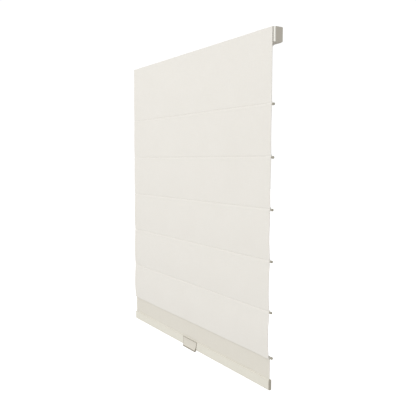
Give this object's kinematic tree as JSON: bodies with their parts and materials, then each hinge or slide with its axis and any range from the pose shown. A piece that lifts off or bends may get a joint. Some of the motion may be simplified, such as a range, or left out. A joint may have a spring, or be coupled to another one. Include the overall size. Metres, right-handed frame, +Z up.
{
  "type": "roman blind",
  "caption": "Cordless flat roman shade: cloth in ribbed folds on a headrail with a spring motor, drawn up by a bottom rail with a pull handle.",
  "frame": {"origin": "centre of the four wall screws of the two brackets, in the wall plane", "axes": "+Z up along the drop, +X along the width to the right as seen from the room, -Y towards the room"},
  "size_m": [0.928, 0.0428, 1.0729],
  "materials": {
    "headrail": "satin powder coat",
    "end_cap": "fine moulded texture",
    "bracket": "zinc plated and painted",
    "loop_tape": "loop pile",
    "hook_tape": "hook pile",
    "motor_housing": "moulded",
    "motor_cover": "moulded",
    "drum_axle": "drawn pin",
    "spring_strip": "rolled spring steel",
    "spring_coil": "wound spring steel",
    "storage_drum": "moulded acetal",
    "output_drum": "moulded acetal",
    "spool": "moulded acetal",
    "cradle": "moulded",
    "drive_shaft": "drawn rod",
    "face_fabric": "plain woven cloth",
    "liner": "smooth blackout lining",
    "hem_pocket": "plain woven cloth",
    "lift_cord": "braided polyester cord",
    "rib_rod": "pultruded fibreglass",
    "rib_caps": "moulded",
    "rib_pocket": "lining tape",
    "cord_rings": "moulded",
    "bottom_rail": "satin powder coat",
    "rail_cap": "moulded",
    "lift_handle": "moulded, fine texture",
    "handle_rivets": "moulded",
    "cord_anchors": "moulded"
  },
  "bodies": {
    "headrail_assembly": {"headrail": "headrail", "end_cap_left": "end_cap", "end_cap_right": "end_cap", "bracket_left": "bracket", "bracket_right": "bracket", "loop_tape": "loop_tape", "hook_tape": "hook_tape", "motor_housing": "motor_housing", "motor_cover": "motor_cover", "drum_axle": "drum_axle", "spring_strip": "spring_strip", "cradle_left": "cradle", "cradle_centre": "cradle", "cradle_right": "cradle", "face_fabric": "face_fabric", "liner": "liner", "lift_cord_left": "lift_cord", "lift_cord_centre": "lift_cord", "lift_cord_right": "lift_cord"},
    "lift_shaft": {"drive_shaft": "drive_shaft", "spool_left": "spool", "spool_centre": "spool", "spool_right": "spool", "output_drum": "output_drum"},
    "spring_storage": {"storage_drum": "storage_drum", "spring_coil": "spring_coil"},
    "rib_1": {"rib_rod_1": "rib_rod", "rib_caps_1": "rib_caps", "rib_pocket_1": "rib_pocket", "cord_rings_1": "cord_rings"},
    "rib_2": {"rib_rod_2": "rib_rod", "rib_caps_2": "rib_caps", "rib_pocket_2": "rib_pocket", "cord_rings_2": "cord_rings"},
    "rib_3": {"rib_rod_3": "rib_rod", "rib_caps_3": "rib_caps", "rib_pocket_3": "rib_pocket", "cord_rings_3": "cord_rings"},
    "rib_4": {"rib_rod_4": "rib_rod", "rib_caps_4": "rib_caps", "rib_pocket_4": "rib_pocket", "cord_rings_4": "cord_rings"},
    "rib_5": {"rib_rod_5": "rib_rod", "rib_caps_5": "rib_caps", "rib_pocket_5": "rib_pocket", "cord_rings_5": "cord_rings"},
    "rib_6": {"rib_rod_6": "rib_rod", "rib_caps_6": "rib_caps", "rib_pocket_6": "rib_pocket", "cord_rings_6": "cord_rings"},
    "bottom_bar": {"bottom_rail": "bottom_rail", "rail_cap_left": "rail_cap", "rail_cap_right": "rail_cap", "hem_pocket": "hem_pocket", "lift_handle": "lift_handle", "handle_rivets": "handle_rivets", "cord_anchors": "cord_anchors"}
  },
  "joints": [
    {"name": "lift", "type": "slide", "parent": "headrail_assembly", "child": "bottom_bar", "axis": [0, 0, 1], "range_m": [0, 0.7963], "deforming": ["face_fabric", "liner", "lift_cord_left", "lift_cord_centre", "lift_cord_right"]},
    {"name": "rib_1_rise", "type": "slide", "parent": "headrail_assembly", "child": "rib_1", "axis": [0, 0, 1], "range_m": [0, 0.1681]},
    {"name": "rib_2_rise", "type": "slide", "parent": "headrail_assembly", "child": "rib_2", "axis": [0, 0, 1], "range_m": [0, 0.2859]},
    {"name": "rib_3_rise", "type": "slide", "parent": "headrail_assembly", "child": "rib_3", "axis": [0, 0, 1], "range_m": [0, 0.4037]},
    {"name": "rib_4_rise", "type": "slide", "parent": "headrail_assembly", "child": "rib_4", "axis": [0, 0, 1], "range_m": [0, 0.5215]},
    {"name": "rib_5_rise", "type": "slide", "parent": "headrail_assembly", "child": "rib_5", "axis": [0, 0, 1], "range_m": [0, 0.6393]},
    {"name": "rib_6_rise", "type": "slide", "parent": "headrail_assembly", "child": "rib_6", "axis": [0, 0, 1], "range_m": [0, 0.7463]},
    {"name": "shaft_turn", "type": "hinge", "parent": "headrail_assembly", "child": "lift_shaft", "pos_m": [0, -0.0144, -0.008], "axis": [-1, 0, 0], "range_deg": [0, 7244]},
    {"name": "spring_drum_turn", "type": "hinge", "parent": "headrail_assembly", "child": "spring_storage", "pos_m": [0.165, -0.0144, 0.0095], "axis": [1, 0, 0], "range_deg": [0, 6374.8]}
  ],
  "couplings": [
    {"joint": "rib_1_rise", "follows": "lift", "ratio": 0.2108},
    {"joint": "rib_2_rise", "follows": "lift", "ratio": 0.3588},
    {"joint": "rib_3_rise", "follows": "lift", "ratio": 0.5067},
    {"joint": "rib_4_rise", "follows": "lift", "ratio": 0.6547},
    {"joint": "rib_5_rise", "follows": "lift", "ratio": 0.8026},
    {"joint": "rib_6_rise", "follows": "lift", "ratio": 0.937},
    {"joint": "shaft_turn", "follows": "lift", "rad_per_m": 158.73},
    {"joint": "spring_drum_turn", "follows": "lift", "rad_per_m": 139.68}
  ]
}
